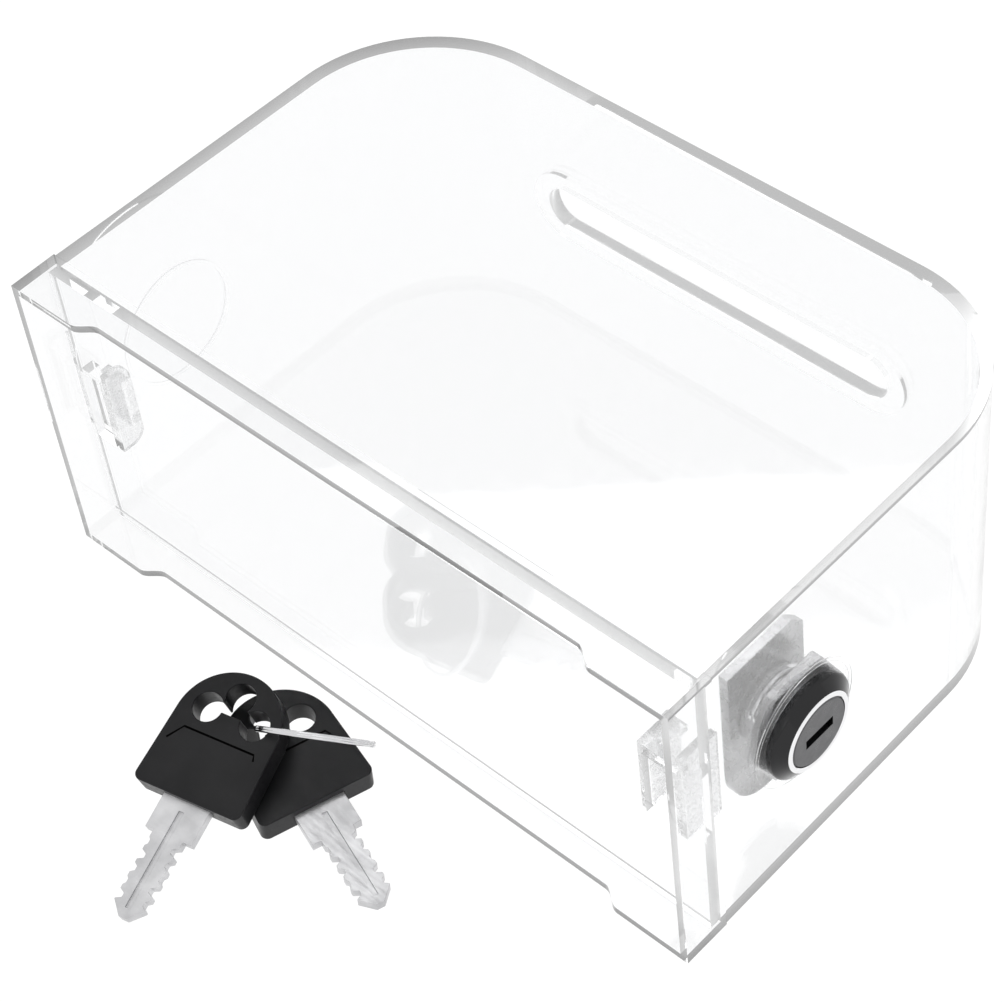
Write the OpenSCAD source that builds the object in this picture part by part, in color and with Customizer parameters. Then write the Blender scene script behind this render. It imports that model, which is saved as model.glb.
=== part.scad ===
// Clear table-top donation box with a cam-locked bottom door and two keys on a split ring.
// The box lies on its back wall: +X towards the lock, +Y towards the slotted wall, +Z is the front.
// The origin is the corner where the back wall, the plain side wall and the foot rim meet.

// Which piece to show

/* [Box] */
// Width from side wall to side wall
box_w = 160; // [159:0.5:161]
// Height from the feet to the slotted wall
box_h = 106.6; // [105:0.2:108]
// Depth from back wall to front wall
box_d = 70.5; // [70:0.5:72]
// Thickness of the moulded walls
wall = 2.2; // [2:0.1:2.4]
// Plan radius of the two corners beside the slotted wall
corner_r = 30.8; // [26:0.2:32]

/* [Money slot] */
// Length of the slot opening
slot_l = 86; // [70:1:90]
// Width of the slot opening
slot_w = 10; // [6:0.5:11]
// Width of the bead around the slot
bead_band = 3.8; // [2:0.1:4]
// Height of the bead inside the wall
bead_h = 0.8; // [0.4:0.1:1.2]

/* [Feet] */
// Length of each foot along the rim
foot_l = 16.6; // [12:0.2:20]
// Height of the relief between the feet
relief_h = 2.6; // [1.5:0.1:3]

/* [Door] */
// Thickness of the door panel
door_t = 2; // [1.8:0.1:2]
// Gap between the door and the rim all round
door_gap = 0.3; // [0.3:0.05:0.5]

/* [Lock] */
// Radius of the turning face of the lock
face_r = 7; // [6.5:0.1:7]
// Radius of the chrome bezel
bezel_r = 10.6; // [10:0.1:11]
// Width of the hexagonal nut across its flats
nut_af = 22; // [20:0.5:22]
// Length of the cam from the lock axis to its tip
cam_reach = 23.7; // [20:0.1:23.7]
// Width of the cam
cam_w = 20; // [14:0.5:20]

/* [Keys] */
// Width of the key bow at its shoulder
bow_w = 23.4; // [22:0.2:24]
// Thickness of the key bow
bow_t = 5; // [4:0.1:5]
// Length of the key blade outside the bow
blade_l = 24; // [22:0.5:24]
// Outer diameter of the split ring
ring_d = 22.8; // [22.6:0.1:23]

/* [Hidden] */
$fn = 64;
eps = 1;
mid_z = box_d / 2;
mid_x = box_w / 2;

// skirt, step and draft of the moulding
step_y = 10.6;
step_in = 0.25;
side_draft = 0.75;
front_draft = 1.15;
ledge_y = 9.6;
skirt_wall = 1.6;
top_y = box_h;
cavity_y = box_h - wall;

// slot
slot_end_r = slot_w / 2;
slot_half = slot_l / 2 - slot_end_r;
bead_side = bead_band - 0.3;
bead_end = bead_band + 0.2;
bead_end_r = slot_end_r + bead_side;
bead_half = slot_l / 2 + bead_end - bead_end_r;

// round marks on the side walls
mark_r = 13;
mark_band = 0.7;
mark_lift = 0.12;
mark_y = 33.3;

// relief shoulder, a smooth rise in short steps
shoulder_l = 4.9;
shoulder_n = 10;

// door catch at the plain side
catch_z0 = 27;
catch_z1 = 43.5;
catch_x1 = 4.6;
catch_y1 = 12.3;

// door
door_y0 = 7.3;
door_y1 = door_y0 + door_t;
door_x0 = skirt_wall + door_gap;
door_x1 = box_w - skirt_wall - door_gap;
door_z0 = skirt_wall + door_gap;
door_z1 = box_d - skirt_wall - door_gap;

// hook at the plain side of the door
hook_x = 8.7;
hook_t = 1.5;
hook_y = 14.9;
hook_z0 = 25;
hook_z1 = 45.5;
hook_round = 3;
hook_tip_x = 3.6;
hook_lip_y = 12.9;
hook_win_z0 = 26;
hook_win_z1 = 44;
hook_win_x0 = 3.2;

// keeper at the lock side of the door
keep_x0 = 144.4;
keep_t = 1.5;
keep_y = 17.3;
keep_z0 = 25;
keep_z1 = 43.5;
keep_plate_x = 152;
keep_plate_y = 16.5;
keep_plate_z0 = 24;
keep_plate_z1 = 46;
keep_lip_x = 147.7;
keep_lip_y0 = 12.4;
keep_lip_y1 = 13.9;
keep_lip_z0 = 31;
keep_lip_z1 = 42.2;
keep_low_y = 11.2;

// lock, all along X from the outside face inwards
lock_y = 33.3;
lock_z = mid_z;
face_x = 163.2;
flange_x = 161.5;
seat_x = 159.75;
barrel_r = 8;
barrel_flat = 6.9;
barrel_x = 150.95;
core_r = 5.5;
run_gap = 0.05;
head_x = 161;
pocket_gap = 0.1;
hole_gap = 0.15;
rim_r = 7.8;
face_chamfer = 0.3;

// keyway and wafers
keyway_w = 7.2;
keyway_t = 2.2;
wafer_n = 5;
wafer_t = 0.9;
wafer_pitch = 1.5;
wafer_x0 = 158.6;
wafer_w = 6.2;
wafer_half = 5;
wafer_gap = 0.05;
window_side = 0.3;
window_up = 0.5;
race_r = 6.4;
race_w = 7;
race_clear = 0.4;
race_x0 = 150.5;
race_x1 = 159.6;

// nut
nut_x = 157.2;
nut_t = 2.4;
nut_turn = 29;

// tail with washer, cam and screw
tail_w = 7;
clip_x = 150.3;
clip_t = 0.55;
clip_r = 7.6;
cam_x = 148.3;
cam_t = 1.9;
cam_tail = 15;
cam_end_r = cam_w / 2;
cam_chamfer = 3;
tip_x = 146.3;
tip_w = 10;
tip_t = 2;
tip_lap = 0.02;
washer_x = 147.6;
washer_t = 0.65;
washer_r = 5.2;
washer_slit = 0.6;
washer_bore_gap = 0.2;
screw_head_t = 1.9;
screw_head_r = 4.2;
screw_rim_r = 5.1;
screw_r = 2;
screw_l = 3;
screw_hole_l = 2.3;
screw_x = 147.58;
cross_l = 5;
cross_w = 0.9;
cross_d = 1.8;
tail_end = 148.4;
square_gap = 0.06;

// keys
dome_r = 11;
dome_w = 15.4;
bow_corner = 1.5;
hole_r = 3;
hole_side = 5.2;
hole_low = 17.7;
hole_high = 21.5;
blade_t = 2;
neck_w = 10.2;
neck_l = 7.1;
neck_lap = 0.01;
blade_w = 6.6;
tang_w = 15;
tang_back = 12;
tang_wide_to = 4;
tang_gap = 0.02;
bit_n = 5;
bit_pitch = 2.7;
bit_first = 9.4;
bit_top = 1.1;
bit_low = 0.45;
bit_step = 0.35;
bit_flat = 0.4;
bit_over = 0.2;
groove_w = 1.1;
groove_d = 0.45;
groove_x0 = 2;
groove_l = 20;
point_l = 2.6;
point_w = 1.6;

// resting places of the keys on the table
key_a_pos = [70.9, -35.7, 7.97];
key_a_turn = -77;
key_a_pitch = 15.8;
key_b_pos = [87.4, -18.85, 3.44];
key_b_turn = -17.9;
key_b_pitch = 5.6;
ring_pos = [79.3, -10.8, 9.74];
ring_wire = 0.45;
ring_step = 0.45 * ring_wire;
ring_turn = 29.7;
ring_tilt = -54.9;

// flat shape of the body seen along the depth: slanted sides, two round corners
module body_flat(inset, low, high) {
    x_low = step_in + inset;
    x_high = step_in + side_draft + inset;
    r = corner_r - inset;
    cy = high - r;
    lean = side_draft * (cy - step_y) / (box_h - step_y);
    cx = step_in + lean + inset + r;
    polygon([
        [x_low, low], [box_w - x_low, low],
        [box_w - cx + r, cy], [box_w - cx, cy], [box_w - cx, high],
        [cx, high], [cx, cy], [cx - r, cy]
    ]);
    translate([cx, cy]) circle(r);
    translate([box_w - cx, cy]) circle(r);
}

// block whose front face leans in towards the slotted wall
module lean_block(inset, low, high) {
    y0 = low - eps;
    y1 = high + eps;
    slope = front_draft / (box_h - step_y);
    z_at_step = box_d - step_in - inset;
    rotate([90, 0, 90])
        linear_extrude(box_w + 2 * eps)
            polygon([
                [y0, inset], [y1, inset],
                [y1, z_at_step - slope * (y1 - step_y)],
                [y0, z_at_step - slope * (y0 - step_y)]
            ]);
}

module stadium(half, r) {
    translate([-half, 0]) circle(r);
    translate([half, 0]) circle(r);
    translate([-half, -r]) square([2 * half, 2 * r]);
}

// outline of the relief between two feet
function shoulder(i) = [foot_l + shoulder_l * i / shoulder_n,
                        relief_h * (1 - cos(180 * i / shoulder_n)) / 2];

module relief_flat() {
    rise = [for (i = [0 : shoulder_n]) shoulder(i)];
    fall = [for (i = [0 : shoulder_n])
        [box_w - shoulder(shoulder_n - i)[0], shoulder(shoulder_n - i)[1]]];
    polygon(concat([[foot_l, -eps]], rise, fall, [[box_w - foot_l, -eps]]));
}

// one-piece moulded box, open at the foot
module shell() {
    color([0.93, 0.95, 0.96, 0.3])
    difference() {
        union() {
            difference() {
                union() {
                    intersection() {
                        linear_extrude(box_d) body_flat(0, step_y - eps, top_y);
                        translate([-eps, 0, 0]) lean_block(0, step_y, top_y);
                    }
                    cube([box_w, step_y, box_d]);
                }
                intersection() {
                    linear_extrude(box_d) body_flat(wall, ledge_y - eps, cavity_y);
                    translate([-eps, 0, 0]) lean_block(wall, step_y, cavity_y);
                }
                translate([skirt_wall, -eps, skirt_wall])
                    cube([box_w - 2 * skirt_wall, ledge_y + eps, box_d - 2 * skirt_wall]);
                translate([0, 0, -eps]) linear_extrude(box_d + 2 * eps) relief_flat();
            }
            // bead inside the slotted wall
            translate([mid_x, cavity_y + eps, mid_z])
                rotate([90, 0, 0])
                    linear_extrude(eps + bead_h) stadium(bead_half, bead_end_r);
            // catch for the door hook
            translate([wall / 2, ledge_y, catch_z0])
                cube([catch_x1 - wall / 2, catch_y1 - ledge_y, catch_z1 - catch_z0]);
            // raised round mark on the plain side
            mark_ring(mark_lift, 1);
            // raised round mark around the lock
            mark_ring(box_w - mark_lift, -1);
        }
        // money slot
        translate([mid_x, top_y + eps, mid_z])
            rotate([90, 0, 0])
                linear_extrude(wall + bead_h + 2 * eps) stadium(slot_half, slot_end_r);
        // lock hole with two flats
        translate([box_w - 2 * wall, lock_y, lock_z])
            rotate([90, 0, 90])
                linear_extrude(3 * wall)
                    intersection() {
                        circle(barrel_r + hole_gap);
                        square([2 * (barrel_flat + hole_gap), 4 * barrel_r], center = true);
                    }
    }
}

module mark_ring(x, way) {
    translate([x, mark_y, lock_z])
        rotate([0, way * 90, 0])
            difference() {
                cylinder(h = wall / 2, r = mark_r);
                translate([0, 0, -eps]) cylinder(h = wall + 2 * eps, r = mark_r - mark_band);
            }
}

// bottom door with a hook at one side and a keeper for the cam at the other
module base_door() {
    color([0.93, 0.95, 0.96, 0.35])
    union() {
        difference() {
            translate([door_x0, door_y0, door_z0])
                cube([door_x1 - door_x0, door_t, door_z1 - door_z0]);
            translate([hook_win_x0, door_y0 - eps, hook_win_z0])
                cube([hook_x - hook_win_x0, door_t + 2 * eps, hook_win_z1 - hook_win_z0]);
            translate([keep_x0 + keep_t, door_y0 - eps, keep_z0])
                cube([keep_plate_x - keep_x0 - keep_t, door_t + 2 * eps, keep_z1 - keep_t - keep_z0]);
        }
        hook();
        keeper();
    }
}

module hook() {
    // upright plate with two rounded inner corners
    translate([hook_x, 0, 0])
        rotate([90, 0, 90])
            linear_extrude(hook_t)
                union() {
                    translate([door_y1 - eps, hook_z0])
                        square([hook_y - door_y1 + eps - hook_round, hook_z1 - hook_z0]);
                    translate([door_y1 - eps, hook_z0 + hook_round])
                        square([hook_y - door_y1 + eps, hook_z1 - hook_z0 - 2 * hook_round]);
                    translate([hook_y - hook_round, hook_z0 + hook_round]) circle(hook_round);
                    translate([hook_y - hook_round, hook_z1 - hook_round]) circle(hook_round);
                }
    // lip that reaches over the catch
    translate([hook_tip_x, hook_lip_y, hook_win_z0 + hook_round])
        cube([hook_x + hook_t / 2 - hook_tip_x, hook_y - hook_lip_y,
              hook_win_z1 - hook_win_z0 - 2 * hook_round]);
}

module keeper() {
    translate([keep_x0, door_y1 - eps, keep_z0])
        cube([keep_t, keep_y - door_y1 + eps, keep_z1 - keep_z0]);
    translate([keep_x0, door_y1 - eps, keep_z1 - keep_t])
        cube([keep_lip_x - keep_x0, keep_y - door_y1 + eps, keep_t]);
    translate([keep_x0, door_y1 - eps, keep_z1 - keep_t])
        cube([keep_plate_x + keep_t - keep_x0, keep_low_y - door_y1 + eps, keep_t]);
    translate([keep_plate_x, door_y1 - eps, keep_plate_z0])
        cube([keep_t, keep_plate_y - door_y1 + eps, keep_plate_z1 - keep_plate_z0]);
    // lip that traps the bent tip of the cam
    translate([keep_x0, keep_lip_y0, keep_lip_z0])
        cube([keep_lip_x - keep_x0, keep_lip_y1 - keep_lip_y0, keep_lip_z1 - keep_lip_z0]);
}

// shape turned about the lock axis, with x as the radius and y as the distance along X
module lathe_x() {
    translate([0, lock_y, lock_z])
        rotate([0, 90, 0])
            rotate_extrude() children();
}

// chrome bezel and threaded barrel
module lock_housing() {
    color([0.75, 0.76, 0.78])
    difference() {
        union() {
            lathe_x()
                polygon([
                    [0, seat_x], [bezel_r, seat_x], [bezel_r, flange_x],
                    [rim_r, face_x], [0, face_x]
                ]);
            intersection() {
                translate([barrel_x, lock_y, lock_z])
                    rotate([0, 90, 0]) cylinder(h = seat_x - barrel_x + eps / 2, r = barrel_r);
                translate([barrel_x - eps, lock_y - barrel_flat, lock_z - 2 * barrel_r])
                    cube([seat_x - barrel_x + 2 * eps, 2 * barrel_flat, 4 * barrel_r]);
            }
        }
        lathe_x()
            polygon([
                [0, barrel_x - eps], [core_r + run_gap, barrel_x - eps],
                [core_r + run_gap, head_x - pocket_gap],
                [face_r + pocket_gap, head_x - pocket_gap],
                [face_r + pocket_gap, face_x + eps], [0, face_x + eps]
            ]);
        // races that the wafers spring into
        translate([race_x0 + eps, lock_y - race_w / 2, lock_z - race_r - race_clear])
            cube([race_x1 - race_x0 - eps, race_w, 2 * (race_r + race_clear)]);
        translate([race_x0 + eps, lock_y - race_r, lock_z - race_w / 2])
            cube([race_x1 - race_x0 - eps, 2 * race_r, race_w]);
    }
}

// hexagonal nut that clamps the side wall
module hex_nut() {
    color([0.78, 0.79, 0.8])
    difference() {
        translate([nut_x - nut_t, lock_y, lock_z])
            rotate([0, 90, 0])
                rotate([0, 0, nut_turn])
                    cylinder(h = nut_t, d = nut_af / cos(30), $fn = 6);
        translate([nut_x - nut_t - eps, lock_y, lock_z])
            rotate([0, 90, 0]) cylinder(h = nut_t + 2 * eps, r = barrel_r + run_gap);
    }
}

// turning core with its face, keyway and square tail
module lock_plug() {
    color([0.55, 0.56, 0.58])
    difference() {
        union() {
            lathe_x()
                polygon([
                    [0, clip_x + clip_t], [core_r, clip_x + clip_t], [core_r, head_x],
                    [face_r, head_x],
                    [face_r, face_x - face_chamfer],
                    [face_r - face_chamfer, face_x], [0, face_x]
                ]);
            translate([tail_end, lock_y - tail_w / 2, lock_z - tail_w / 2])
                cube([clip_x + clip_t + eps - tail_end, tail_w, tail_w]);
        }
        // keyway
        translate([race_x0 + eps, lock_y - keyway_w / 2, lock_z - keyway_t / 2])
            cube([face_x - race_x0, keyway_w, keyway_t]);
        // wafer slots
        for (i = [0 : wafer_n - 1])
            translate([wafer_x0 - i * wafer_pitch - wafer_t - wafer_gap,
                       lock_y - core_r - eps, lock_z - wafer_w / 2 - wafer_gap])
                cube([wafer_t + 2 * wafer_gap, 2 * core_r + 2 * eps, wafer_w + 2 * wafer_gap]);
        // screw hole
        translate([tail_end - eps, lock_y, lock_z])
            rotate([0, 90, 0]) cylinder(h = eps + screw_hole_l, r = screw_r + run_gap);
    }
}

// sprung plate with a window for the key
module wafer(i) {
    color([0.8, 0.65, 0.3])
    translate([wafer_x0 - i * wafer_pitch - wafer_t, lock_y, lock_z])
        rotate([90, 0, 90])
            linear_extrude(wafer_t)
                difference() {
                    intersection() {
                        square([2 * wafer_half, wafer_w], center = true);
                        circle(core_r - wafer_gap);
                    }
                    square([keyway_w - 2 * window_side, keyway_t + 2 * window_up], center = true);
                }
}

// stop washer that keeps the core in the barrel
module stop_washer() {
    color([0.7, 0.7, 0.72])
    translate([clip_x, lock_y, lock_z])
        rotate([0, 90, 0])
            difference() {
                cylinder(h = clip_t, r = clip_r);
                translate([0, 0, clip_t / 2])
                    cube([tail_w + square_gap, tail_w + square_gap, 2 * clip_t], center = true);
            }
}

// flat cam with its tip bent over
module cam() {
    color([0.8, 0.8, 0.82])
    translate([0, lock_y, lock_z])
    difference() {
        union() {
            translate([cam_x, 0, 0])
                rotate([90, 0, 90])
                    linear_extrude(cam_t)
                        union() {
                            polygon([
                                [-cam_w / 2, cam_end_r - cam_reach], [cam_w / 2, cam_end_r - cam_reach],
                                [cam_w / 2, cam_tail - cam_chamfer],
                                [cam_w / 2 - cam_chamfer, cam_tail], [-cam_w / 2, cam_tail]
                            ]);
                            translate([0, cam_end_r - cam_reach]) circle(cam_end_r);
                        }
            translate([tip_x, -tip_w / 2, -cam_reach + tip_lap])
                cube([cam_x + cam_t / 2 - tip_x, tip_w, tip_t]);
        }
        translate([cam_x + cam_t / 2, 0, 0])
            cube([4 * cam_t, tail_w + square_gap, tail_w + square_gap], center = true);
        // trim the bent tip to the round end
        translate([tip_x - eps, 0, 0])
            rotate([90, 0, 90])
                linear_extrude(cam_x + cam_t + 2 * eps - tip_x)
                    difference() {
                        translate([-cam_w, -cam_reach - eps]) square([2 * cam_w, cam_end_r / 2]);
                        translate([0, cam_end_r - cam_reach]) circle(cam_end_r);
                    }
    }
}

// spring washer under the screw head
module spring_washer() {
    color([0.6, 0.6, 0.62])
    translate([washer_x, lock_y, lock_z])
        rotate([0, 90, 0])
            difference() {
                cylinder(h = washer_t, r = washer_r);
                translate([0, 0, -eps])
                    cylinder(h = washer_t + 2 * eps, r = screw_r + washer_bore_gap);
                translate([0, -washer_slit / 2, -eps])
                    cube([2 * washer_r, washer_slit, washer_t + 2 * eps]);
            }
}

// pan-head screw that holds the cam
module cam_screw() {
    color([0.72, 0.72, 0.74])
    translate([screw_x, lock_y, lock_z])
        rotate([0, -90, 0])
            difference() {
                union() {
                    rotate_extrude()
                        polygon([
                            [0, 0], [screw_rim_r, 0], [screw_rim_r, screw_head_t / 2],
                            [screw_head_r, screw_head_t], [0, screw_head_t]
                        ]);
                    translate([0, 0, -screw_l]) cylinder(h = screw_l + eps, r = screw_r);
                }
                translate([0, 0, screw_head_t]) cube([cross_l, cross_w, cross_d], center = true);
                translate([0, 0, screw_head_t]) cube([cross_w, cross_l, cross_d], center = true);
            }
}

// three-lobed hole in the key head
module trefoil() {
    translate([-hole_low, -hole_side]) circle(hole_r);
    translate([-hole_low, hole_side]) circle(hole_r);
    translate([-hole_high, 0]) circle(hole_r);
    polygon([[-hole_low, -hole_side], [-hole_low, hole_side], [-hole_high, 0]]);
}

// moulded key head; x runs towards the key tip
module key_bow() {
    corner_y = bow_w / 2 - bow_corner;
    difference() {
        translate([0, 0, -bow_t / 2])
            linear_extrude(bow_t)
                difference() {
                    union() {
                        polygon([
                            [0, -corner_y], [0, corner_y], [-bow_corner, bow_w / 2],
                            [-dome_w, dome_r], [-dome_w, -dome_r], [-bow_corner, -bow_w / 2]
                        ]);
                        translate([-dome_w, 0]) circle(dome_r);
                        translate([-bow_corner, corner_y]) circle(bow_corner);
                        translate([-bow_corner, -corner_y]) circle(bow_corner);
                    }
                    trefoil();
                }
        translate([0, 0, -blade_t / 2 - tang_gap])
            linear_extrude(blade_t + 2 * tang_gap) tang_flat(tang_gap, eps);
    }
}

module tang_flat(gap, ahead) {
    translate([-tang_back, -tang_w / 2 - gap])
        square([tang_back - tang_wide_to, tang_w + 2 * gap]);
    translate([-tang_wide_to - eps, -neck_w / 2 - gap])
        square([tang_wide_to + eps + ahead, neck_w + 2 * gap]);
}

// double-sided key blade with shoulder, cuts and centre grooves
module key_blade() {
    difference() {
        translate([0, 0, -blade_t / 2])
            linear_extrude(blade_t)
                difference() {
                    union() {
                        tang_flat(0, 0);
                        translate([-neck_lap, -neck_w / 2]) square([neck_l + neck_lap, neck_w]);
                        translate([neck_l - eps, -blade_w / 2])
                            square([blade_l - point_l - neck_l + eps, blade_w]);
                        polygon([
                            [blade_l - point_l, -blade_w / 2], [blade_l, -point_w / 2],
                            [blade_l, point_w / 2], [blade_l - point_l, blade_w / 2]
                        ]);
                    }
                    for (i = [0 : bit_n - 1])
                        for (s = [-1, 1])
                            bit_cut(bit_first + i * bit_pitch, s,
                                    bit_low + bit_step * ((i * 2 + (s + 1)) % 3));
                }
        for (s = [-1, 1])
            translate([groove_x0, -groove_w / 2, s * blade_t / 2 - groove_d])
                cube([groove_l, groove_w, 2 * groove_d]);
    }
}

module bit_cut(x, side, deep) {
    polygon([
        [x - bit_top, side * (blade_w / 2 + bit_over)], [x - bit_flat, side * (blade_w / 2 - deep)],
        [x + bit_flat, side * (blade_w / 2 - deep)], [x + bit_top, side * (blade_w / 2 + bit_over)]
    ]);
}

module place_key(pos, turn, pitch) {
    translate(pos) rotate([0, 0, turn]) rotate([0, pitch, 0]) children();
}

module key_a_blade() {
    color([0.78, 0.78, 0.8]) place_key(key_a_pos, key_a_turn, key_a_pitch) key_blade();
}

module key_a_bow() {
    color([0.08, 0.08, 0.09]) place_key(key_a_pos, key_a_turn, key_a_pitch) key_bow();
}

module key_b_blade() {
    color([0.78, 0.78, 0.8]) place_key(key_b_pos, key_b_turn, key_b_pitch) key_blade();
}

module key_b_bow() {
    color([0.08, 0.08, 0.09]) place_key(key_b_pos, key_b_turn, key_b_pitch) key_bow();
}

// split ring drawn as its two touching coils
module key_ring() {
    color([0.75, 0.75, 0.77])
    translate(ring_pos)
        rotate([0, 0, ring_turn]) rotate([ring_tilt, 0, 0])
            rotate_extrude()
                translate([ring_d / 2 - ring_wire, 0])
                    union() {
                        translate([0, ring_step]) circle(ring_wire);
                        translate([0, -ring_step]) circle(ring_wire);
                    }
}

// NODES: shell base_door lock_housing hex_nut lock_plug wafer_1 wafer_2 wafer_3 wafer_4 wafer_5
// stop_washer cam spring_washer cam_screw key_a_blade key_a_bow key_b_blade key_b_bow key_ring

shell();
base_door();
lock_housing();
hex_nut();
lock_plug();
wafer(0);  // wafer_1
wafer(1);  // wafer_2
wafer(2);  // wafer_3
wafer(3);  // wafer_4
wafer(4);  // wafer_5
stop_washer();
cam();
spring_washer();
cam_screw();
key_a_blade();
key_a_bow();
key_b_blade();
key_b_bow();
key_ring();
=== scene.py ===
# %% [markdown]
# # A clear donation box with its cam lock and keys
# The box is one clear moulding that lies on its back wall. A door closes the foot, a cam lock sits in
# one side wall, and two keys lie in front on a split ring. The true sizes come from the frame, so every
# piece made here starts from a frame node or sits at its measured place.

# %% load the frame
from math import cos, radians, sin, tau

import bmesh
import bpy
from mathutils import Matrix, Vector


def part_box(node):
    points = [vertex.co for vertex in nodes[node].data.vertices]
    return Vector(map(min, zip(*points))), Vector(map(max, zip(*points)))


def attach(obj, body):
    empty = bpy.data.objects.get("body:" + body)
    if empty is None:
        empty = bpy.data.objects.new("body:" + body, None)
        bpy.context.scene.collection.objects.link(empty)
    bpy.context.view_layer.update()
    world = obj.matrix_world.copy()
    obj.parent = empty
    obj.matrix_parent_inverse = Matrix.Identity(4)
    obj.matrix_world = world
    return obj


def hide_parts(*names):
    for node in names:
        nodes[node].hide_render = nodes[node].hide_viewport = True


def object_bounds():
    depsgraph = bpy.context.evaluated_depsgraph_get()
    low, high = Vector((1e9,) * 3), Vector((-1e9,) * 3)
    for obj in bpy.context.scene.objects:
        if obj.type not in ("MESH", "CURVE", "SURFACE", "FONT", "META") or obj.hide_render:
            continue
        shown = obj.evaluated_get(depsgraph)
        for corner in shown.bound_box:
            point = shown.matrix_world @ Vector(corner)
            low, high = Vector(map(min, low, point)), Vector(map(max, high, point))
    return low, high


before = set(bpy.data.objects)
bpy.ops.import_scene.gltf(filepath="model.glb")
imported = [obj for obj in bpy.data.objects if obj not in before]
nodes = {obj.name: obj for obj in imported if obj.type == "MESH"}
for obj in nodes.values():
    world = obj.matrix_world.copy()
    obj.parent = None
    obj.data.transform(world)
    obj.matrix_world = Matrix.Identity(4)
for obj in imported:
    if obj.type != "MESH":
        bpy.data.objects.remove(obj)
MM = 0.001
cad_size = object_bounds()
print("frame nodes", len(nodes), "box", cad_size)

# %% [markdown]
# ## Camera
# A product picture like this is taken from well above one corner with a long lens, which keeps the
# edges of the box almost parallel. The camera is given by where it stands, where it looks and which
# way is up, because three directions are easier to read than three angles.

# %% camera
right = Vector((0.72971, 0.67754, -0.09192))
above = Vector((-0.46309, 0.58865, 0.66260))
ahead = Vector((-0.50305, 0.44094, -0.74331))
eye = Vector((356.16, -200.24, 437.28)) * MM
sensor_width, focal_length = 36, 105.04
nearest, farthest = 0.02, 20
camera_data = bpy.data.cameras.new("camera")
camera_data.sensor_width = sensor_width
camera_data.lens = focal_length
camera_data.clip_start, camera_data.clip_end = nearest, farthest
camera = bpy.data.objects.new("camera", camera_data)
turn = Matrix((right, above, -ahead)).transposed().to_4x4()
camera.matrix_world = Matrix.Translation(eye) @ turn
bpy.context.collection.objects.link(camera)
bpy.context.scene.camera = camera
print("camera looks along", tuple(round(v, 3) for v in ahead))

# %% [markdown]
# ## Material helpers
# Every finish here is a Principled shader with a little noise behind it. Real moulded and plated
# surfaces are never perfectly even, so the noise moves the roughness a little and lifts a fine bump.

# %% material helpers
def new_finish(name, colour, metallic=0.0, roughness=0.4, transmission=0.0, ior=1.5):
    material = bpy.data.materials.new(name)
    material.use_nodes = True
    shader = material.node_tree.nodes["Principled BSDF"]
    shader.inputs["Base Color"].default_value = (*colour, 1)
    shader.inputs["Metallic"].default_value = metallic
    shader.inputs["Roughness"].default_value = roughness
    shader.inputs["Transmission Weight"].default_value = transmission
    shader.inputs["IOR"].default_value = ior
    return material, material.node_tree, shader


def place_coordinates(tree, stretch=(1, 1, 1), turned=(0, 0, 0)):
    source = tree.nodes.new("ShaderNodeTexCoord")
    mapping = tree.nodes.new("ShaderNodeMapping")
    mapping.inputs["Scale"].default_value = stretch
    mapping.inputs["Rotation"].default_value = turned
    tree.links.new(source.outputs["Object"], mapping.inputs["Vector"])
    return mapping.outputs["Vector"]


def noise(tree, vector, scale, detail=3.0, rough=0.5):
    texture = tree.nodes.new("ShaderNodeTexNoise")
    texture.inputs["Scale"].default_value = scale
    texture.inputs["Detail"].default_value = detail
    texture.inputs["Roughness"].default_value = rough
    tree.links.new(vector, texture.inputs["Vector"])
    return texture.outputs["Fac"]


def remap(tree, value, low, high, start=0.3, end=0.7):
    node = tree.nodes.new("ShaderNodeMapRange")
    node.inputs["From Min"].default_value = start
    node.inputs["From Max"].default_value = end
    node.inputs["To Min"].default_value = low
    node.inputs["To Max"].default_value = high
    tree.links.new(value, node.inputs["Value"])
    return node.outputs["Result"]


def two_tone(tree, value, dark, light, start=0.35, end=0.65):
    ramp = tree.nodes.new("ShaderNodeValToRGB")
    ramp.color_ramp.elements[0].position = start
    ramp.color_ramp.elements[0].color = (*dark, 1)
    ramp.color_ramp.elements[1].position = end
    ramp.color_ramp.elements[1].color = (*light, 1)
    tree.links.new(value, ramp.inputs["Fac"])
    return ramp.outputs["Color"]


def bump(tree, shader, height, strength, distance):
    node = tree.nodes.new("ShaderNodeBump")
    node.inputs["Strength"].default_value = strength
    node.inputs["Distance"].default_value = distance
    tree.links.new(height, node.inputs["Height"])
    tree.links.new(node.outputs["Normal"], shader.inputs["Normal"])


# %% [markdown]
# ## Clear plastic
# The box and the door are crystal polystyrene. The skin of the moulding is polished, with a faint
# waviness from the flow of the melt. Light that runs a long way inside a wall comes out grey, which is
# what draws the edges, so the shader also absorbs a little light in its volume. The slight haze of the
# plastic scatters daylight into the same long paths, and a painted glow, light the volume gives off itself,
# stands for it.

# %% clear plastic
polystyrene_ior = 1.57
wall_grey = (0.46, 0.48, 0.50, 1)


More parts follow.
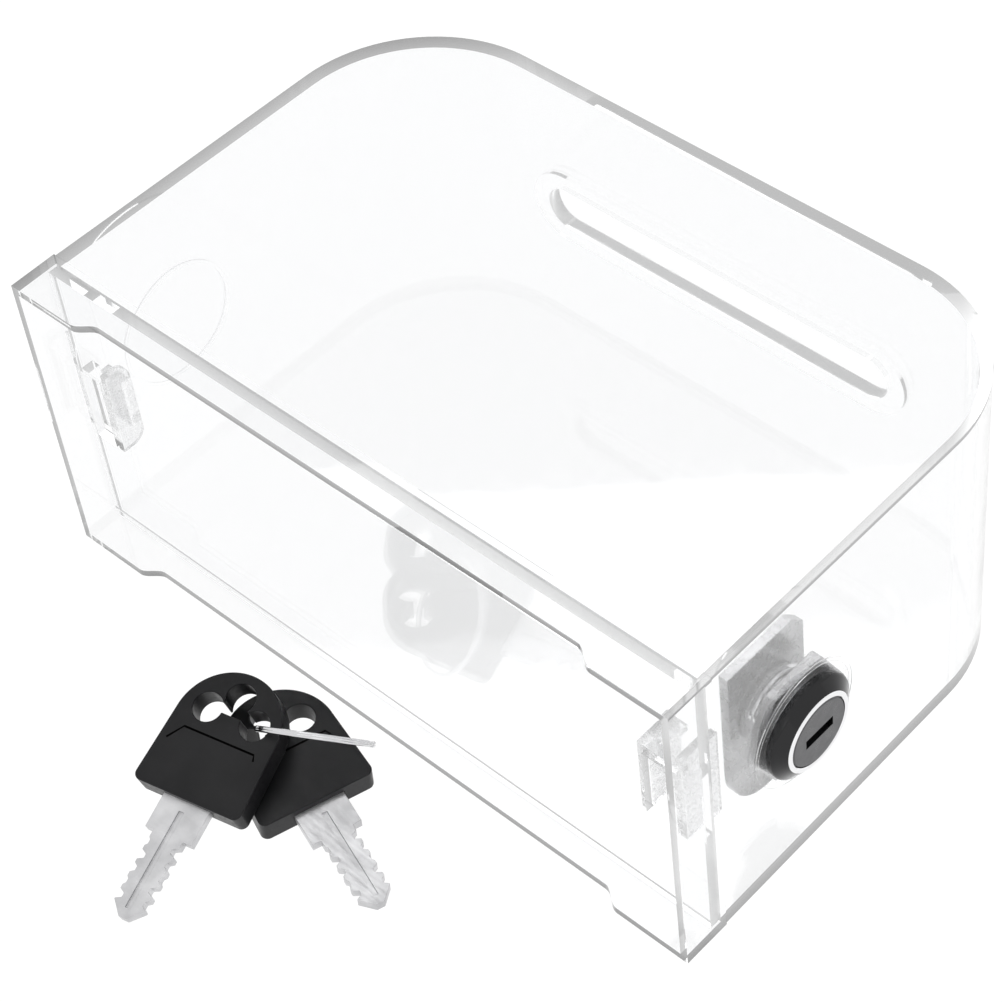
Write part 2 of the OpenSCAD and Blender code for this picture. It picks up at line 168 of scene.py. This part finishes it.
def clear_plastic(name, tint, density, glow):
    material, tree, shader = new_finish(name, tint, roughness=0.02, transmission=1.0, ior=polystyrene_ior)
    where = place_coordinates(tree)
    flow = noise(tree, where, 28, 2)
    tree.links.new(remap(tree, noise(tree, where, 260, 4), 0.01, 0.05), shader.inputs["Roughness"])
    bump(tree, shader, flow, 0.06, 0.0008)
    inside = tree.nodes.new("ShaderNodeVolumeAbsorption")
    inside.inputs["Color"].default_value = wall_grey
    inside.inputs["Density"].default_value = density
    # Painted glow: the volume gives off light of its own in place of daylight scattered by the haze.
    painted_haze_glow = tree.nodes.new("ShaderNodeEmission")
    painted_haze_glow.inputs["Strength"].default_value = glow
    both = tree.nodes.new("ShaderNodeAddShader")
    tree.links.new(inside.outputs["Volume"], both.inputs[0])
    tree.links.new(painted_haze_glow.outputs["Emission"], both.inputs[1])
    output = tree.nodes["Material Output"]
    tree.links.new(both.outputs["Shader"], output.inputs["Volume"])
    return material, tree, shader, where


shell_plastic, *_ = clear_plastic("clear_plastic", (0.93, 0.932, 0.935), density=3, glow=16)
print("made", shell_plastic.name)

# %% [markdown]
# The catches of the door stand on its upper face and are left with a fine spark-eroded grain, so above
# the panel the same plastic turns matt. The height along Y decides which finish a point gets.

# %% door plastic
door_plastic, tree, shader, where = clear_plastic("clear_door", (0.94, 0.942, 0.945), density=3, glow=16)
shader.inputs["Specular Tint"].default_value = (0.2, 0.2, 0.2, 1)
split = tree.nodes.new("ShaderNodeSeparateXYZ")
tree.links.new(where, split.inputs["Vector"])
panel_thickness = 2 * MM
panel_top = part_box("base_door")[0][1] + panel_thickness
step = remap(tree, split.outputs["Y"], 0.0, 1.0, panel_top + 0.1 * MM, panel_top + 0.4 * MM)
grain = tree.nodes.new("ShaderNodeMath")
grain.operation = "MULTIPLY"
tree.links.new(step, grain.inputs[0])
tree.links.new(remap(tree, noise(tree, where, 900, 3), 0.12, 0.3), grain.inputs[1])
polish = tree.nodes.new("ShaderNodeMath")
polish.operation = "ADD"
polish.inputs[1].default_value = 0.025
tree.links.new(grain.outputs["Value"], polish.inputs[0])
tree.links.new(polish.outputs["Value"], shader.inputs["Roughness"])
print("matt above", round(panel_top, 4))

# %% [markdown]
# ## Metals
# The bezel, the thread, the wafers and the ring are all plain metals that differ in tone, polish and the
# size of their marks, so one helper makes them. The sky is white all round, and chrome only mirrors what
# is around it, so the cone of the bezel gets a painted dark reflection in its colour and its rim a painted
# highlight.

# %% plain metals
def plain_metal(name, colour, polish, spread, marks, ripple=None):
    material, tree, shader = new_finish(name, colour, 1.0, polish)
    where = place_coordinates(tree)
    tree.links.new(remap(tree, noise(tree, where, *marks), *spread), shader.inputs["Roughness"])
    if ripple:
        size, strength, distance = ripple
        bump(tree, shader, noise(tree, where, size, 2), strength, distance)
    return material


marks, ripple = (240, 4), (700, 0.02, 0.0002)
chrome = plain_metal("lock_chrome", (0.62, 0.62, 0.63), 0.05, (0.03, 0.10), marks, ripple)
# Painted highlight: a brighter base than the thread stands for the light the rim would mirror.
rim_painted_highlight = plain_metal("rim_painted_highlight", (0.86, 0.86, 0.87), 0.05, (0.03, 0.10), marks)
# Painted reflection: a near-black base stands for the dark surroundings this chrome would mirror.
bezel_painted_dark_reflection = plain_metal("bezel_painted_dark_reflection", (0.035, 0.035, 0.036), 0.06, (0.04, 0.12), marks, ripple)
brass = plain_metal("wafer_brass", (0.80, 0.62, 0.30), 0.3, (0.2, 0.4), (800, 3), (900, 0.05, 0.0001))
ring_steel = plain_metal("ring_steel", (0.66, 0.66, 0.67), 0.12, (0.08, 0.2), (900, 3), (1500, 0.04, 0.0001))
print("made", chrome.name, rim_painted_highlight.name, bezel_painted_dark_reflection.name, brass.name, ring_steel.name)

# %% [markdown]
# The core is satin nickel, and a lathe left rings on its face, so a wave texture runs in rings about the
# lock axis. The cam and the nut are zinc plated and cloudy, and their colour runs in streaks from near black
# to light: partly the plating's own uneven tone, partly painted reflection.

# %% turned nickel and zinc
core_nickel, tree, shader = new_finish("lock_core", (0.11, 0.11, 0.114), 1.0, 0.3)
plug_low, plug_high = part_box("lock_plug")
axis_height = (plug_low[1] + plug_high[1]) / 2
axis_depth = (plug_low[2] + plug_high[2]) / 2
where = place_coordinates(tree)
centre = tree.nodes.new("ShaderNodeVectorMath")
centre.operation = "SUBTRACT"
centre.inputs[1].default_value = (0, axis_height, axis_depth)
tree.links.new(where, centre.inputs[0])
rings = tree.nodes.new("ShaderNodeTexWave")
rings.wave_type = "RINGS"
rings.rings_direction = "X"
rings.inputs["Scale"].default_value = 1300
rings.inputs["Distortion"].default_value = 1.5
tree.links.new(centre.outputs["Vector"], rings.inputs["Vector"])
tree.links.new(remap(tree, noise(tree, where, 500, 4), 0.24, 0.40), shader.inputs["Roughness"])
bump(tree, shader, rings.outputs["Fac"], 0.10, 0.00005)

zinc, tree, shader = new_finish("zinc_plate", (0.82, 0.83, 0.84), 1.0, 0.25)
where = place_coordinates(tree)
# Plating tone mixed with painted reflection: stretched clouds swing the metal colour from near black to light.
plating_tone_and_painted_reflection = noise(tree, place_coordinates(tree, (1, 0.35, 1)), 55, 1)
tree.links.new(two_tone(tree, plating_tone_and_painted_reflection, (0.10, 0.10, 0.102), (0.55, 0.55, 0.56)), shader.inputs["Base Color"])
tree.links.new(remap(tree, noise(tree, where, 600, 4), 0.16, 0.34), shader.inputs["Roughness"])
bump(tree, shader, noise(tree, place_coordinates(tree, (1, 8, 1)), 500, 3), 0.06, 0.0001)
print("lock axis at height", round(axis_height, 5), "depth", round(axis_depth, 5))

# %% [markdown]
# ## Key finishes
# A key blade is brushed from the shoulder to the tip, so its noise is stretched along the key. The
# heads are black mouldings with a fine even grain that breaks up the highlights.

# %% key finishes
def blade_steel(name, heading):
    material, tree, shader = new_finish(name, (0.60, 0.60, 0.61), 1.0, 0.4)
    along = place_coordinates(tree, (0.08, 1, 1), (0, 0, -heading))
    where = place_coordinates(tree)
    shade = two_tone(tree, noise(tree, where, 160, 4), (0.52, 0.52, 0.53), (0.68, 0.68, 0.69))
    tree.links.new(shade, shader.inputs["Base Color"])
    tree.links.new(remap(tree, noise(tree, along, 1400, 4), 0.36, 0.52), shader.inputs["Roughness"])
    bump(tree, shader, noise(tree, along, 2600, 3), 0.10, 0.0001)
    return material


def head_black(name):
    material, tree, shader = new_finish(name, (0.012, 0.012, 0.013), 0.0, 0.4)
    shader.inputs["Specular IOR Level"].default_value = 0.22
    where = place_coordinates(tree)
    shade = two_tone(tree, noise(tree, where, 90, 4), (0.008, 0.008, 0.009), (0.014, 0.014, 0.015))
    tree.links.new(shade, shader.inputs["Base Color"])
    tree.links.new(remap(tree, noise(tree, where, 1200, 3), 0.28, 0.42), shader.inputs["Roughness"])
    bump(tree, shader, noise(tree, where, 2600, 3), 0.08, 0.0001)
    return material


turn_a, turn_b = radians(-77), radians(-17.9)
steel_a = blade_steel("key_steel_a", turn_a)
steel_b = blade_steel("key_steel_b", turn_b)
black = head_black("key_black")
# Painted shade: the near-black, unreflecting colour stands for the shadow in the fine groove of each key head.
groove_painted_shade, tree, shader = new_finish("key_groove_painted_shade", (0.001, 0.001, 0.001), 0.0, 0.7)
shader.inputs["Specular IOR Level"].default_value = 0.0
dullness = remap(tree, noise(tree, place_coordinates(tree), 900, 2), 0.6, 0.85)
tree.links.new(dullness, shader.inputs["Roughness"])
print("made", steel_a.name, steel_b.name, black.name)

# %% [markdown]
# ## Softened copies
# No moulded, stamped or turned edge is truly sharp: each keeps a small radius that catches a line of
# light. A copy of the frame node is merged into one skin, its flat faces are joined again, and a Bevel
# modifier rounds every edge that is sharper than the curves of the shape. A flat face with a hole in it
# can't be one polygon, so the two pieces that have such faces keep their triangles. The stored normals of
# the frame no longer fit a merged skin, so the copy drops them.

# %% softened copies
def take_place(piece, node, body, material):
    piece.data.materials.clear()
    piece.data.materials.append(material)
    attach(piece, body)
    if node:
        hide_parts(node)


def link_mesh(shape, name):
    mesh = bpy.data.meshes.new(name)
    shape.to_mesh(mesh)
    shape.free()
    stored = mesh.attributes.get("custom_normal")
    if stored:
        mesh.attributes.remove(stored)
    piece = bpy.data.objects.new(name, mesh)
    bpy.context.collection.objects.link(piece)
    return piece


def merged_copy(node, join_flats=True):
    shape = bmesh.new()
    shape.from_mesh(nodes[node].data)
    bmesh.ops.remove_doubles(shape, verts=shape.verts, dist=0.002 * MM)
    if join_flats:
        bmesh.ops.dissolve_limit(shape, angle_limit=radians(0.6), verts=shape.verts, edges=shape.edges)
    return shape


def round_edges(piece, width, segments=2, sharper=32):
    for polygon in piece.data.polygons:
        polygon.use_smooth = True
    piece.data.set_sharp_from_angle(angle=radians(sharper))
    edge = piece.modifiers.new("edge", "BEVEL")
    edge.width = width * MM
    edge.segments = segments
    edge.limit_method = "ANGLE"
    edge.angle_limit = radians(sharper)
    edge.harden_normals = True
    edge.use_clamp_overlap = True


def softened(node, body, material, width, segments=2):
    piece = link_mesh(merged_copy(node), node + "_made")
    round_edges(piece, width, segments)
    take_place(piece, node, body, material)
    print(piece.name, len(piece.data.polygons), "faces before rounding")
    return piece


# %% [markdown]
# ## Box and door
# Both are clear, so every inner edge shows too. Their edges are crisp, as a polished steel tool leaves
# them, so no bevel is added. Only the narrow facets of the curves are shaded smooth, and each big wall
# keeps its own flat direction, because clear plastic shows the smallest fault in its shading.

# %% box and door
def plane_of(polygon, mesh):
    corner = mesh.vertices[polygon.vertices[0]].co
    return (*(round(v, 3) for v in polygon.normal), round(polygon.normal.dot(corner) / MM, 1))


def moulded(node, body, material, big=300):
    piece = link_mesh(merged_copy(node, join_flats=False), node + "_made")
    mesh = piece.data
    area = {}
    for polygon in mesh.polygons:
        plane = plane_of(polygon, mesh)
        area[plane] = area.get(plane, 0) + polygon.area / MM ** 2
    mesh.set_sharp_from_angle(angle=radians(24))
    flat = [polygon.index for polygon in mesh.polygons if area[plane_of(polygon, mesh)] >= big]
    for polygon in mesh.polygons:
        polygon.use_smooth = True
    for index in flat:
        mesh.polygons[index].use_smooth = False
    take_place(piece, node, body, material)
    print(piece.name, len(mesh.polygons), "faces,", sum(p.use_smooth for p in mesh.polygons), "of them smooth")
    return piece


shell = moulded("shell", "box", shell_plastic)
door = moulded("base_door", "door", door_plastic)

# %% [markdown]
# ## Lock body
# The housing is a turned casting: a bezel with a cone down to the wall, then a coarse thread for the
# nut with a flat on each side. Its half section is spun about the lock axis, and the two flats are cut
# with planes, which is the order a lathe and a mill would work in. Inside, a wide groove gives the
# sprung plates of the core room to step out when the key is drawn.

# %% lock body
lock_axis = Vector((0, axis_height, axis_depth))
housing_low, housing_high = (Vector(corner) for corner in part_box("lock_housing"))
seat = 159.75
face = housing_high.x / MM
inner_end = housing_low.x / MM
crest, root, pitch = 8.0, 7.55, 1.0
flat_half = 6.9
bore, counterbore, counterbore_end = 5.55, 7.1, 160.9
race, race_start, race_end = 6.6, 151.45, 158.9


run_in = 0.3
rise, crown, fall = 0.42 * pitch, 0.55 * pitch, 0.97 * pitch


def turned_profile():
    outline = [(bore, inner_end), (root, inner_end)]
    x = inner_end + run_in
    while x + pitch < seat - run_in:
        outline += [(root, x), (crest, x + rise), (crest, x + crown), (root, x + fall)]
        x += pitch
    outline += [(root, seat - 0.2), (10.35, seat), (10.6, seat + 0.25), (10.6, 161.1), (10.45, 161.4)]
    outline += [(10.15, 161.62), (8.15, face - 0.22), (7.95, face - 0.04), (7.75, face)]
    outline += [(7.25, face), (counterbore, face - 0.15)]
    outline += [(counterbore, counterbore_end), (bore, counterbore_end)]
    outline += [(bore, race_end), (race, race_end), (race, race_start), (bore, race_start)]
    return outline


def spun(outline, steps, name):
    shape = bmesh.new()
    points = [shape.verts.new(lock_axis + Vector((x * MM, r * MM, 0))) for r, x in outline]
    edges = [shape.edges.new((a, b)) for a, b in zip(points, points[1:] + points[:1])]
    bmesh.ops.spin(shape, geom=points + edges, cent=lock_axis, axis=(1, 0, 0), angle=tau,
                   steps=steps, use_merge=True)
    bmesh.ops.remove_doubles(shape, verts=shape.verts, dist=0.001 * MM)
    bmesh.ops.recalc_face_normals(shape, faces=shape.faces)
    return shape


housing_shape = spun(turned_profile(), 96, "lock_housing")
print("housing faces", len(housing_shape.faces))

# %% [markdown]
# The flats only run along the threaded part, so the faces behind the seat are cut and the bezel in
# front of it is kept whole.

# %% flats on the thread
for side in (-1, 1):
    plane_at = lock_axis + Vector((0, side * flat_half * MM, 0))
    for vert in housing_shape.verts:
        offset = (vert.co.y - plane_at.y) * side
        if vert.co.x < (seat - 0.1) * MM and offset > 0:
            vert.co.y = plane_at.y
rim_radius = 8.1
housing = link_mesh(housing_shape, "lock_housing_made")
for polygon in housing.data.polygons:
    polygon.use_smooth = True
housing.data.set_sharp_from_angle(angle=radians(28))
take_place(housing, "lock_housing", "box", chrome)
housing.data.materials.append(bezel_painted_dark_reflection)
housing.data.materials.append(rim_painted_highlight)
# The outer cone takes the painted dark reflection and the inner rim the painted highlight.
for polygon in housing.data.polygons:
    radius = (polygon.center - lock_axis).yz.length / MM
    if polygon.center.x > (seat + 0.1) * MM:
        polygon.material_index = 2 if radius < rim_radius else 1
print("flats stand", 2 * flat_half, "mm apart")

# %% [markdown]
# ## Core, nut, cam and screw
# These are small turned and stamped parts, so their copies get radii of a tenth of a millimetre or two.

# %% small lock parts
softened("lock_plug", "lock_core", core_nickel, 0.12, 2)
softened("hex_nut", "box", zinc, 0.35, 3)
softened("cam", "lock_core", zinc, 0.3, 3)
softened("stop_washer", "lock_core", zinc, 0.1)
softened("spring_washer", "lock_core", zinc, 0.08)
softened("cam_screw", "lock_core", zinc, 0.18, 3)
for number in range(1, 6):
    wafer = f"wafer_{number}"
    softened(wafer, "sprung_" + wafer, brass, 0.06)

# %% [markdown]
# ## Keys
# The blade is a stamped strip with crisp cuts. The head is moulded over it, with a generous radius on
# its rim and a fine groove that frames a blank panel. The shade in the groove is painted: a slim black inlay
# lies in the face, because a line this fine reads by its colour and not by its depth.

# %% keys
softened("key_a_blade", "key_a", steel_a, 0.12, 2)
softened("key_b_blade", "key_b", steel_b, 0.12, 2)
softened("key_a_bow", "key_a", black, 0.7, 4)
softened("key_b_bow", "key_b", black, 0.7, 4)


# %% painted groove shade on the key heads
def resting_place(shoulder, turn, pitch):
    where = Matrix.Translation(Vector(shoulder) * MM)
    return where @ Matrix.Rotation(turn, 4, "Z") @ Matrix.Rotation(radians(pitch), 4, "Y")


key_a_place = resting_place((70.9, -35.7, 7.97), turn_a, 15.8)
key_b_place = resting_place((87.4, -18.85, 3.44), turn_b, 5.6)
panel_corners = [(-9.4, -9.6), (-12.6, -7.4), (-12.6, 8.0), (-11.4, 8.5)]
half, depth, top = 0.2, 0.25, 2.515


# Builds the slim inlay that carries the painted shade of the groove.
def painted_groove_shade_strip(name, place, body):
    shape = bmesh.new()
    left, level = [], []
    last = len(panel_corners) - 1
    for i, (x, y) in enumerate(panel_corners):
        before = Vector(panel_corners[max(i - 1, 0)])
        after = Vector(panel_corners[min(i + 1, last)])
        way = (after - before).normalized()
        side = Vector((-way.y, way.x)) * half
        left.append(shape.verts.new((x + side.x, y + side.y, top)))
        level.append(shape.verts.new((x - side.x, y - side.y, top)))
    strips = [shape.faces.new((left[i], left[i + 1], level[i + 1], level[i])) for i in range(last)]
    grown = bmesh.ops.extrude_face_region(shape, geom=strips)
    moved = [item for item in grown["geom"] if isinstance(item, bmesh.types.BMVert)]
    bmesh.ops.translate(shape, verts=moved, vec=(0, 0, -depth))
    bmesh.ops.recalc_face_normals(shape, faces=shape.faces)
    bmesh.ops.transform(shape, matrix=place @ Matrix.Scale(MM, 4), verts=shape.verts)
    line = link_mesh(shape, name)
    take_place(line, None, body, groove_painted_shade)
    return line


painted_groove_shade_strip("key_a_groove_painted_shade", key_a_place, "key_a")
painted_groove_shade_strip("key_b_groove_painted_shade", key_b_place, "key_b")
print("keys placed")

# %% [markdown]
# ## Split ring
# A split ring is two turns of flattened wire pressed together, and each end steps over from one turn
# to the other. A single curve winds twice round, with a short step in the middle, and a round bevel
# gives it the wire.

# %% split ring
ring_low, ring_high = (Vector(corner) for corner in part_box("key_ring"))
ring_centre = (ring_low + ring_high) / 2
ring_radius, wire = 10.95 * MM, 0.40 * MM
turns, coil_step = 2 * 0.985, 0.42 * MM
crossing_start, crossing_length = 0.47, 0.06
ring_place = (Matrix.Translation(ring_centre) @ Matrix.Rotation(radians(29.7), 4, "Z")
              @ Matrix.Rotation(radians(-54.9), 4, "X"))
ring_curve = bpy.data.curves.new("ring", "CURVE")
ring_curve.dimensions = "3D"
ring_curve.bevel_depth = wire
ring_curve.bevel_resolution = 3
ring_curve.use_fill_caps = True
winding = ring_curve.splines.new("POLY")
ring_steps = 192
winding.points.add(ring_steps - 1)
for i in range(ring_steps):
    part = i / (ring_steps - 1)
    angle = part * turns * tau
    crossing = min(max((part - crossing_start) / crossing_length, 0), 1)
    height = (crossing * crossing * (3 - 2 * crossing) - 0.5) * coil_step
    point = ring_place @ Vector((ring_radius * cos(angle), ring_radius * sin(angle), height))
    winding.points[i].co = (*point, 1)
wound = bpy.data.objects.new("ring_curve", ring_curve)
bpy.context.collection.objects.link(wound)
bpy.context.view_layer.update()
ring_mesh = bpy.data.meshes.new_from_object(wound)
bpy.data.objects.remove(wound)
ring = bpy.data.objects.new("key_ring_made", ring_mesh)
bpy.context.collection.objects.link(ring)
for polygon in ring.data.polygons:
    polygon.use_smooth = True
take_place(ring, "key_ring", "ring", ring_steel)
print("ring faces", len(ring_mesh.polygons))

# %% [markdown]
# ## Floor and light
# The set is a pale light table in even light, so the clear walls read by their edges and no shadow
# darkens the floor under the box. A white sky gives the even light, and two soft panels add the highlights.

# %% floor
floor_shape = bmesh.new()
floor_half = 3.0
floor_gap = 0.0001
bmesh.ops.create_grid(floor_shape, x_segments=1, y_segments=1, size=floor_half)
floor = link_mesh(floor_shape, "floor")
floor.location.z = cad_size[0][2] - floor_gap
pale, tree, shader = new_finish("pale_floor", (0.03, 0.03, 0.03), 0.0, 0.9)
shader.inputs["Emission Color"].default_value = (1, 1, 1, 1)
shader.inputs["Emission Strength"].default_value = 1.0
mottle = noise(tree, place_coordinates(tree), 30, 2)
shade = two_tone(tree, mottle, (0.028, 0.028, 0.028), (0.032, 0.032, 0.032))
tree.links.new(shade, shader.inputs["Base Color"])
floor.data.materials.append(pale)

# %% light
world = bpy.data.worlds.new("sky")
world.use_nodes = True
world.node_tree.nodes["Background"].inputs["Color"].default_value = (1, 1, 1, 1)
world.node_tree.nodes["Background"].inputs["Strength"].default_value = 1.0
bpy.context.scene.world = world
bpy.context.scene.view_settings.view_transform = "Standard"


def soft_panel(name, place, target, size, watts):
    light = bpy.data.lights.new(name, "AREA")
    light.shape = "RECTANGLE"
    light.size, light.size_y = size
    light.energy = watts
    lamp = bpy.data.objects.new(name, light)
    lamp.location = place
    lamp.rotation_euler = (Vector(target) - Vector(place)).to_track_quat("-Z", "Y").to_euler()
    bpy.context.collection.objects.link(lamp)


soft_panel("top_panel", (-0.2, 0.35, 0.8), (0.08, 0.05, 0.03), (0.5, 0.35), 0.7)
soft_panel("side_panel", (0.7, -0.5, 0.45), (0.14, 0.03, 0.04), (0.3, 0.3), 0.2)
